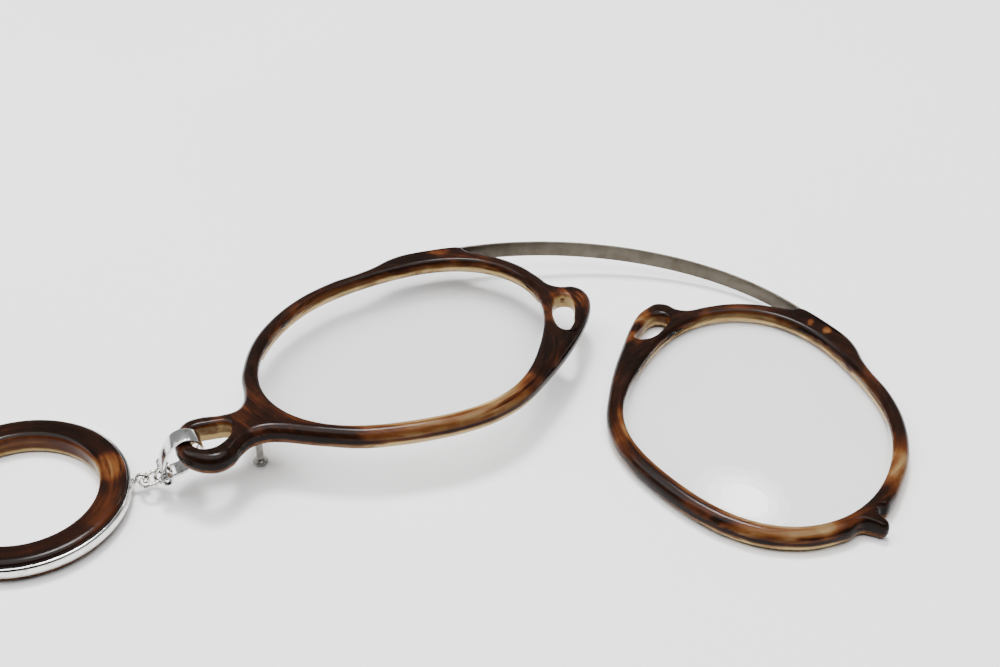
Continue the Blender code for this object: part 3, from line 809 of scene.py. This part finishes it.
def make_pendant_ring(place, material):
    inner = PENDANT_INNER
    outer = PENDANT_OUTER - PENDANT_SEAT
    half = (outer - inner) / 2
    middle = (outer + inner) / 2
    section = [
        (inner + 0.02, 0.75), (inner + 0.1, 0.35), (inner + 0.35, 0.08), (inner + 0.7, 0.0),
        (outer - 0.9, 0.0), (outer - 0.45, 0.1), (outer - 0.15, 0.34), (outer, 0.75),
    ]
    for a in arc(0, 180, 24):
        flat = math.copysign(abs(math.cos(a)) ** 0.5, math.cos(a))
        rise = PENDANT_RISE * abs(math.sin(a)) ** 0.65
        section.append((middle + half * flat, PENDANT_THICK - PENDANT_RISE + rise))
    ring = to_object("pendant_ring_body", ring_solid(section, PENDANT_STEPS), place, angle=60)
    finish_piece(ring, material, "pendant", "tortoise", "pendant_ring")


def make_band(place, material):
    """The silver channel, bulging outwards between its two lips."""
    wall = PENDANT_OUTER - BAND_BULGE
    middle = (BAND_LOW + BAND_HIGH) / 2
    half = (BAND_HIGH - BAND_LOW) / 2
    section = [(wall - BAND_LIP, BAND_LOW + 0.1), (wall, BAND_LOW)]
    for a in arc(-80, 160, 12):
        section.append((wall + BAND_BULGE * math.cos(a), middle + half * math.sin(a)))
    section += [(wall, BAND_HIGH), (wall - BAND_LIP, BAND_HIGH - 0.1)]
    shell = to_object("pendant_band_shell", ring_solid(section, PENDANT_STEPS), place, angle=60)
    finish_piece(shell, material, "pendant", "silver", "pendant_band")


SOLDER_PROFILE = ((0.62, -0.12), (0.6, 0.02), (0.5, 0.14), (0.36, 0.24), (0.24, 0.34), (0.12, 0.42))


def eye_centre(place):
    return place @ Vector((PENDANT_OUTER + EYE_STAND_OFF + EYE_BEND, 0, EYE_HEIGHT))


def make_eye(place, material):
    """A wire eye with a small foot of solder on the band."""
    way = heading(EYE_HEADING)
    stand = axes_frame(way, UP, way.cross(UP), eye_centre(place))
    path = [Vector((EYE_BEND * math.cos(a), EYE_BEND * math.sin(a), 0)) for a in full_turn(40)]
    eye = to_object("pendant_eye_wire", wire_loop(bmesh.new(), path, EYE_WIRE, 14), stand, angle=80)
    finish_piece(eye, material, "pendant", "silver", "pendant_eye")
    spot = place @ Matrix.Translation((PENDANT_OUTER - 0.02, 0, EYE_HEIGHT - 0.35))
    spot = spot @ Matrix.Rotation(math.pi / 2, 4, "Y")
    solder = to_object("pendant_eye_solder", turned(SOLDER_PROFILE, 24), spot, angle=80)
    finish_piece(solder, material, "pendant", "silver")


# ---------------------------------------------------------------- material helpers
class Nodes:
    """Small wrapper round a node tree that keeps the node code short."""

    def __init__(self, tree):
        self.tree = tree

    def add(self, kind, **settings):
        made = self.tree.nodes.new(kind)
        for key, value in settings.items():
            setattr(made, key, value)
        return made

    def feed(self, socket, value):
        if isinstance(value, bpy.types.NodeSocket):
            self.tree.links.new(value, socket)
        else:
            socket.default_value = value

    def math(self, operation, *values, clamp=False):
        made = self.add("ShaderNodeMath", operation=operation, use_clamp=clamp)
        for socket, value in zip(made.inputs, values):
            self.feed(socket, value)
        return made.outputs[0]

    def vector(self, operation, *values):
        made = self.add("ShaderNodeVectorMath", operation=operation)
        for socket, value in zip(made.inputs, values):
            self.feed(socket, value)
        single = operation in ("DISTANCE", "LENGTH", "DOT_PRODUCT")
        return made.outputs["Value" if single else "Vector"]

    def parts(self, coords):
        made = self.add("ShaderNodeSeparateXYZ")
        self.feed(made.inputs[0], coords)
        return made.outputs

    def scaled(self, coords, scale):
        made = self.add("ShaderNodeMapping")
        self.feed(made.inputs["Vector"], coords)
        made.inputs["Scale"].default_value = scale if hasattr(scale, "__len__") else (scale,) * 3
        return made.outputs["Vector"]

    def noise(self, coords, scale, detail=4.0, rough=0.55, distort=0.0, colour=False):
        made = self.add("ShaderNodeTexNoise")
        self.feed(made.inputs["Vector"], coords)
        made.inputs["Scale"].default_value = scale
        made.inputs["Detail"].default_value = detail
        made.inputs["Roughness"].default_value = rough
        made.inputs["Distortion"].default_value = distort
        return made.outputs["Color" if colour else "Fac"]

    def remap(self, value, from_low, from_high, to_low=0.0, to_high=1.0, smooth=False):
        made = self.add("ShaderNodeMapRange", clamp=True)
        if smooth:
            made.interpolation_type = "SMOOTHSTEP"
        for key, item in zip(("Value", "From Min", "From Max", "To Min", "To Max"),
                             (value, from_low, from_high, to_low, to_high)):
            self.feed(made.inputs[key], item)
        return made.outputs["Result"]

    def mix(self, share, low, high, kind="VALUE"):
        made = self.add("ShaderNodeMix", data_type="FLOAT" if kind == "VALUE" else "RGBA")
        for key, item in (("Factor", share), ("A", low), ("B", high)):
            wanted = "VALUE" if key == "Factor" else kind
            self.feed(next(s for s in made.inputs if s.name == key and s.type == wanted), item)
        return next(s for s in made.outputs if s.type == kind)

    def mix_colour(self, share, low, high):
        return self.mix(share, (*low, 1.0), (*high, 1.0), "RGBA")

    def ramp(self, value, stops, interpolation="LINEAR"):
        made = self.add("ShaderNodeValToRGB")
        made.color_ramp.interpolation = interpolation
        while len(made.color_ramp.elements) < len(stops):
            made.color_ramp.elements.new(0.5)
        for element, (place, colour) in zip(made.color_ramp.elements, stops):
            element.position = place
            if not hasattr(colour, "__len__"):
                colour = (colour, colour, colour)
            element.color = (*colour, 1.0)
        self.feed(made.inputs["Fac"], value)
        return made.outputs["Color"]


class Shader(Nodes):
    """A material with its main shader."""

    def __init__(self, name):
        self.material = bpy.data.materials.new(name)
        self.material.use_nodes = True
        super().__init__(self.material.node_tree)
        self.shader = self.tree.nodes["Principled BSDF"]

    def millimetres(self):
        return self.scaled(self.add("ShaderNodeTexCoord").outputs["Object"], 1.0 / MM)

    def bump(self, height, strength, distance):
        made = self.add("ShaderNodeBump")
        made.inputs["Strength"].default_value = strength
        made.inputs["Distance"].default_value = distance
        self.feed(made.inputs["Height"], height)
        self.feed(self.shader.inputs["Normal"], made.outputs["Normal"])

    def set(self, **values):
        for key, value in values.items():
            self.feed(self.shader.inputs[key.replace("_", " ")], value)


# ---------------------------------------------------------------- materials
HORN = (
    (0.0, (0.006, 0.003, 0.002)),
    (0.22, (0.013, 0.005, 0.003)),
    (0.40, (0.050, 0.014, 0.005)),
    (0.56, (0.092, 0.034, 0.010)),
    (0.72, (0.140, 0.083, 0.035)),
    (0.86, (0.228, 0.147, 0.062)),
    (1.0, (0.420, 0.295, 0.135)),
)
GLASS_SHADOW = (0.35, 0.35, 0.35, 1.0)
LIT_TONE = 0.42
WANDER_REACH = 4.5


def horn_coords(s, place):
    """Millimetre coordinates in a lens's or the pendant's frame, and the radius from its middle."""
    made = s.add("ShaderNodeMapping", vector_type="TEXTURE")
    s.feed(made.inputs["Vector"], s.add("ShaderNodeTexCoord").outputs["Object"])
    made.inputs["Location"].default_value = place.translation * MM
    made.inputs["Rotation"].default_value = place.to_euler()
    made.inputs["Scale"].default_value = (MM, MM, MM)
    coords = made.outputs["Vector"]
    flat = s.vector("MULTIPLY", coords, (1, 1, 0))
    return coords, s.vector("LENGTH", flat)


def lengthwise(s, coords, radius, scale, seed):
    """Streaks that run round the ring: slow along it, quick across it."""
    made = s.add("ShaderNodeTexNoise", noise_dimensions="4D")
    s.feed(made.inputs["Vector"], s.scaled(coords, (0.055 * scale, 0.055 * scale, 0.6 * scale)))
    s.feed(made.inputs["W"], s.math("ADD", s.math("MULTIPLY", radius, 0.6 * scale), seed))
    made.inputs["Scale"].default_value = 1.0
    made.inputs["Detail"].default_value = 3.0
    made.inputs["Roughness"].default_value = 0.55
    return made.outputs["Fac"]


def tortoiseshell(name, place, around, blobs, seed, low=-0.1, line=0.0, inner=0.0):
    """Mottled shell: around gives the tone by angle about the middle, blobs gives it by place (mm).

    Below the height low the tone gets painted light, as if lit from below; line is how dark the painted
    shade line round the outer wall is; inner is the radius of a hole whose wall gets painted light.
    """
    s = Shader(name)
    coords, radius = horn_coords(s, place)
    moved = s.vector("ADD", coords, (seed, seed * 0.7, seed * 1.3))
    wander = s.noise(moved, 0.13, 2.0, 0.5, colour=True)
    warp = s.vector("SCALE", s.vector("SUBTRACT", wander, (0.5, 0.5, 0.5)))
    warp.node.inputs["Scale"].default_value = WANDER_REACH
    bent = s.vector("ADD", coords, warp)
    axes = s.parts(bent)
    angle = s.math("ARCTAN2", axes["Y"], axes["X"])
    turn = s.math("ADD", s.math("DIVIDE", angle, 2 * math.pi), 0.5)
    tone = s.ramp(turn, [((degrees + 180.0) / 360.0, value) for degrees, value in around], "EASE")
    flat = s.vector("MULTIPLY", bent, (1, 1, 0))
    for x, y, size, value in blobs:
        away = s.vector("DISTANCE", flat, (x, y, 0))
        tone = s.mix(s.remap(away, size, size * 0.4, smooth=True), tone, value)
    patches = s.noise(moved, 0.2, 3.0, 0.5, 0.3)
    streaks = lengthwise(s, coords, radius, 1.0, seed)
    fine = lengthwise(s, coords, radius, 2.6, seed + 9)
    for pattern, reach in ((patches, 0.10), (streaks, 0.17), (fine, 0.07)):
        tone = s.math("ADD", tone, s.remap(pattern, 0.3, 0.7, -reach, reach))
    dark = lengthwise(s, coords, radius, 1.5, seed + 4)
    tone = s.math("SUBTRACT", tone, s.remap(dark, 0.56, 0.70, 0.0, 0.34, smooth=True))
    height = s.parts(coords)["Z"]
    # Painted light: the "lit" attribute lightens the tone.
    mark = s.add("ShaderNodeAttribute", attribute_name="lit").outputs["Fac"]
    tone = s.math("ADD", tone, s.math("MULTIPLY", mark, LIT_TONE))
    # Painted light on everything below the height low.
    below = s.remap(height, low, low - 0.5, 0.0, LIT_TONE * 1.05, smooth=True)
    tone = s.math("ADD", tone, below)
    # Painted light on the wall of the hole, as if light came through the shell.
    if inner:
        wall = s.remap(radius, inner + 0.5, inner + 0.1, 0.0, 0.36, smooth=True)
        tone = s.math("ADD", tone, wall)
    # Painted shade: a dark line round the outer wall near the middle height, left out where "lit" is
    # painted.
    if line:
        away = s.math("ABSOLUTE", s.math("SUBTRACT", height, 0.08))
        near = s.remap(away, 0.12, 0.36, line, 0.0, smooth=True)
        unlit = s.math("SUBTRACT", 1.0, mark, clamp=True)
        tone = s.math("SUBTRACT", tone, s.math("MULTIPLY", near, unlit))
    tone = s.math("ADD", tone, 0.0, clamp=True)
    s.set(Base_Color=s.ramp(tone, HORN), IOR=1.54, Specular_IOR_Level=0.07,
          Subsurface_Weight=0.18, Subsurface_Scale=0.001)
    s.shader.inputs["Subsurface Radius"].default_value = (1.0, 0.4, 0.12)
    s.set(Roughness=s.remap(s.noise(coords, 2.2, 5.0, 0.65), 0.3, 0.75, 0.10, 0.24))
    wear = s.noise(s.scaled(coords, (1.0, 1.0, 3.0)), 5.0, 5.0, 0.7)
    s.bump(wear, 0.05, 0.0001)
    return s.material


def steel(name, base, dark, rough, streaks):
    """Bare steel with stains; streaks stretches the fine grain along each axis."""
    s = Shader(name)
    coords = s.millimetres()
    stain = s.noise(coords, 0.32, 5.0, 0.6, 0.4)
    colour = s.mix_colour(s.remap(stain, 0.42, 0.66, smooth=True), base, dark)
    fine = s.noise(s.scaled(coords, streaks), 3.0, 5.0, 0.7)
    s.set(Base_Color=colour, Metallic=1.0)
    s.set(Roughness=s.math("ADD", s.remap(fine, 0.25, 0.75, rough - 0.08, rough + 0.1),
                           s.remap(stain, 0.45, 0.7, 0.0, 0.14)))
    s.bump(fine, 0.12, 0.0001)
    return s.material


def silver(name, clean, dark, grain, reach):
    """Silver that goes from clean to dark where the noise pattern lies in reach: tarnished spots, and on the
    chain also painted shade.
    """
    s = Shader(name)
    coords = s.millimetres()
    tarnish_and_shade = s.noise(coords, grain, 5.0, 0.65, 0.3)
    nick = s.noise(coords, 6.0, 5.0, 0.7)
    colour = s.mix_colour(s.remap(tarnish_and_shade, *reach, smooth=True), clean, dark)
    s.set(Base_Color=colour, Metallic=1.0)
    s.set(Roughness=s.math("ADD", s.remap(nick, 0.25, 0.75, 0.08, 0.22),
                           s.remap(tarnish_and_shade, 0.5, 0.75, 0.0, 0.12)))
    s.bump(nick, 0.08, 0.0001)
    return s.material


def lens_glass():
    """Clear glass that lets part of the light straight through in shadows."""
    s = Shader("lens glass")
    s.set(Base_Color=(1.0, 1.0, 1.0, 1.0), Roughness=0.0, IOR=1.46, Transmission_Weight=1.0)
    path = s.add("ShaderNodeLightPath")
    clear = s.add("ShaderNodeBsdfTransparent")
    clear.inputs["Color"].default_value = GLASS_SHADOW
    both = s.add("ShaderNodeMixShader")
    s.feed(both.inputs["Fac"], path.outputs["Is Shadow Ray"])
    s.feed(both.inputs[1], s.shader.outputs["BSDF"])
    s.feed(both.inputs[2], clear.outputs["BSDF"])
    s.feed(s.tree.nodes["Material Output"].inputs["Surface"], both.outputs["Shader"])
    return s.material


def paper():
    s = Shader("studio paper")
    coords = s.millimetres()
    tooth = s.noise(coords, 1.5, 5.0, 0.6)
    broad = s.noise(coords, 0.01, 2.0, 0.5)
    colour = s.mix_colour(s.remap(broad, 0.35, 0.65), (0.80, 0.80, 0.805), (0.83, 0.83, 0.83))
    s.set(Base_Color=colour, Roughness=0.75, Specular_IOR_Level=0.25)
    s.bump(tooth, 0.05, 0.0002)
    return s.material


# Tones go from 0 (black) to 1 (amber). Around: (degrees about the middle, tone). Blobs: (x, y,
# radius, tone) in mm.
LEFT_AROUND = (
    (-180, 0.12), (-168, 0.22), (-152, 0.25), (-140, 0.16), (-130, 0.12), (-120, 0.26),
    (-110, 0.47), (-96, 0.58), (-80, 0.56), (-66, 0.64), (-50, 0.62), (-40, 0.42), (-30, 0.12),
    (-16, 0.08), (-4, 0.10), (8, 0.30), (20, 0.22), (30, 0.10), (40, 0.12), (50, 0.26), (60, 0.24),
    (68, 0.10), (84, 0.07), (96, 0.08), (108, 0.11), (120, 0.16), (138, 0.18), (152, 0.16),
    (164, 0.13), (172, 0.08), (180, 0.12),
)
LEFT_BLOBS = (
    (25.6, 7.0, 3.0, 0.42), (27.4, 10.6, 2.6, 0.12), (29.6, 4.6, 2.0, 0.42), (29.0, 1.0, 5.0, 0.09),
    (9.0, 23.6, 2.4, 0.37), (3.0, 23.4, 4.0, 0.06),
    (-26.5, -11.5, 5.0, 0.29), (-32.0, -13.0, 3.5, 0.22), (-30.5, -21.5, 5.0, 0.10),
)
RIGHT_AROUND = (
    (-180, 0.10), (-166, 0.06), (-150, 0.08), (-138, 0.12), (-128, 0.24), (-119, 0.36),
    (-108, 0.28), (-97, 0.16), (-86, 0.12), (-74, 0.20), (-63, 0.38), (-53, 0.55), (-40, 0.60),
    (-28, 0.58), (-19, 0.28), (-9, 0.05), (0, 0.18), (8, 0.62), (20, 0.68), (29, 0.38), (38, 0.12),
    (52, 0.14), (64, 0.26), (76, 0.26), (88, 0.12), (100, 0.06), (116, 0.08), (126, 0.24),
    (137, 0.34), (150, 0.30), (158, 0.08), (180, 0.10),
)
RIGHT_BLOBS = (
    (-28.8, 4.6, 3.4, 0.60), (-27.4, 10.2, 3.2, 0.08), (-24.0, 10.8, 3.0, 0.06),
    (-25.4, -1.0, 2.6, 0.34), (-8.0, 24.2, 6.0, 0.08), (27.2, -4.9, 3.6, 0.04),
    (-5.2, 22.6, 0.9, 0.50), (-8.4, 22.4, 0.9, 0.50),
)
PENDANT_AROUND = ((-180, 0.17), (-90, 0.15), (0, 0.20), (90, 0.14), (180, 0.17))
PENDANT_BLOBS = ((12.5, 2.5, 4.6, 0.46), (9.0, -10.5, 5.0, 0.22), (-13.0, 0.0, 6.0, 0.26))
EVEN = (1.0, 1.0, 1.0)
ALONG_STRIP = (0.3, 0.3, 6.0)


def make_materials():
    return {
        "left": tortoiseshell(
            "left tortoiseshell", left_frame(), LEFT_AROUND, LEFT_BLOBS, seed=3.0, line=0.34),
        "right": tortoiseshell(
            "right tortoiseshell", right_frame(), RIGHT_AROUND, RIGHT_BLOBS, seed=11.0, line=0.34),
        "pendant": tortoiseshell(
            "pendant tortoiseshell", pendant_frame(), PENDANT_AROUND, PENDANT_BLOBS, seed=23.0,
            low=1.2, inner=PENDANT_INNER),
        "strip": steel(
            "strip steel", (0.098, 0.086, 0.068), (0.080, 0.068, 0.052), 0.34, ALONG_STRIP),
        "pin": steel("pin steel", (0.28, 0.27, 0.25), (0.17, 0.15, 0.13), 0.30, EVEN),
        "rivet": steel("rivet steel", (0.30, 0.24, 0.18), (0.12, 0.08, 0.05), 0.34, EVEN),
        "silver": silver(
            "polished silver", (0.73, 0.725, 0.71), (0.45, 0.42, 0.37), 0.8, (0.5, 0.72)),
        # The chain's dark speckles are partly tarnish and partly painted shade for the dark gaps in the
        # chain.
        "chain": silver("aged silver and painted shade", (0.80, 0.78, 0.74), (0.10, 0.09, 0.075), 1.3, (0.47, 0.6)),
        "glass": lens_glass(),
        "paper": paper(),
    }


# ---------------------------------------------------------------- the whole object
def make_object(look):
    left, right = left_frame(), right_frame()
    outline = smooth_loop(nose_side(False) + handle_side(), 9)
    holes = [NOSE_HOLE, HANDLE_HOLE]
    make_rim("left_rim_shell", outline, holes, False, left, look["left"], "left_side")
    outline = smooth_loop(nose_side(True) + nub_side(), 9)
    holes = [SLIM_NOSE_HOLE]
    make_rim("right_rim_shell", outline, holes, True, right, look["right"], "right_side")
    make_rivets("left_rivet", False, left, look["rivet"], "left_side")
    make_rivets("right_rivet", True, right, look["rivet"], "right_side")
    for name, mirror, world in (("left", False, left), ("right", True, right)):
        lens = to_object(f"{name}_lens_glass", lens_body(mirror), world, angle=25)
        finish_piece(lens, look["glass"], f"{name}_side", "lens", f"{name}_lens")
    make_strip(look["strip"])
    make_catch_pin(left, look["pin"])
    strap = strap_frame()
    barrel = barrel_frame(strap)
    make_strap(strap, barrel, look["silver"])
    make_knuckles(barrel, look["silver"])
    make_cross_pin(barrel, look["silver"])
    link = link_frame(barrel)
    pendant = pendant_frame()
    make_link(link, look["chain"])
    make_twisted_ring(link_touch(link), eye_centre(pendant), look["chain"])
    make_eye(pendant, look["chain"])
    make_pendant_ring(pendant, look["pendant"])
    make_band(pendant, look["silver"])


# ---------------------------------------------------------------- stage (metres, degrees, watts)
CAMERA_LENS = 61.78
CAMERA_SPOT = (0.04877, -0.18626, 0.16544)
CAMERA_PITCH = 52.334
CAMERA_YAW = 11.905
FLOOR_HALF = 6.0
FLOOR_DROP = 0.00003
SOFT_WHITE = (1.0, 0.995, 0.99)
WHITE = (1.0, 1.0, 1.0)
LAMPS = (
    # name, spot, target, size, power, colour
    ("top soft", (-0.15, -0.10, 1.2), (-0.15, -0.10, 0.0), (2.0, 1.4), 37.0, SOFT_WHITE),
    ("back key", (-0.16, 0.42, 1.15), (0.0, 0.0, 0.0), (0.32, 0.32), 18.0, SOFT_WHITE),
    ("left soft", (-0.9, -0.1, 0.7), (0.0, 0.0, 0.0), (0.5, 0.5), 4.0, WHITE),
)
# Three discs one inside the other make the lens highlight, bright in the middle.
GLINT_DISCS = ((0.095, 0.075, 0.08), (0.072, 0.055, 0.07), (0.05, 0.036, 0.06))
GLINT_SPOT = (0.025, 0.56, 0.60)
GLINT_STEP = 0.0004
GLINT_TARGET = (0.04, 0.0, 0.0)
WORLD_COLOUR = (0.90, 0.93, 0.96, 1.0)
WORLD_STRENGTH = 0.34
DARK_SIDE = (0.10, -0.99, 0.10)
DARK_STRENGTH = 0.02


def make_floor(material):
    """A wide table, a hair below the part's undersides."""
    bm = bmesh.new()
    corners = ((-1, -1), (1, -1), (1, 1), (-1, 1))
    half = FLOOR_HALF / MM
    bm.faces.new([bm.verts.new((half * x, half * y, 0)) for x, y in corners])
    floor = to_object("floor", bm)
    floor.location.z = -FLOOR_DROP
    floor.data.materials.append(material)


def make_lamp(name, spot, target, size, power, colour):
    data = bpy.data.lights.new(name, "AREA")
    data.shape = "ELLIPSE"
    data.size, data.size_y = size
    data.energy = power
    data.color = colour
    lamp = bpy.data.objects.new(name, data)
    bpy.context.collection.objects.link(lamp)
    lamp.location = spot
    lamp.rotation_euler = (Vector(target) - Vector(spot)).to_track_quat("-Z", "Y").to_euler()


def make_world():
    """Soft grey all round, nearly dark on the -y side."""
    world = bpy.data.worlds.new("studio")
    world.use_nodes = True
    nodes = Nodes(world.node_tree)
    back = nodes.tree.nodes["Background"]
    back.inputs["Color"].default_value = WORLD_COLOUR
    around = nodes.add("ShaderNodeTexCoord").outputs["Generated"]
    facing = nodes.vector("DOT_PRODUCT", around, DARK_SIDE)
    strength = nodes.remap(facing, 0.45, 0.75, WORLD_STRENGTH, DARK_STRENGTH, smooth=True)
    nodes.feed(back.inputs["Strength"], strength)
    bpy.context.scene.world = world


def make_lights():
    for lamp in LAMPS:
        make_lamp(*lamp)
    x, y, z = GLINT_SPOT
    for k, (wide, tall, power) in enumerate(GLINT_DISCS):
        spot = (x + GLINT_STEP * k, y, z)
        make_lamp(f"lens glint {k + 1}", spot, GLINT_TARGET, (wide, tall), power, WHITE)


def make_camera():
    data = bpy.data.cameras.new("camera")
    data.lens = CAMERA_LENS
    data.sensor_width = 36.0
    data.clip_start = 0.01
    camera = bpy.data.objects.new("camera", data)
    bpy.context.collection.objects.link(camera)
    camera.location = CAMERA_SPOT
    camera.rotation_euler = (math.radians(CAMERA_PITCH), 0.0, math.radians(CAMERA_YAW))
    bpy.context.scene.camera = camera


LOOK = make_materials()
make_object(LOOK)
make_floor(LOOK["paper"])
make_world()
make_lights()
make_camera()
bpy.context.view_layer.update()
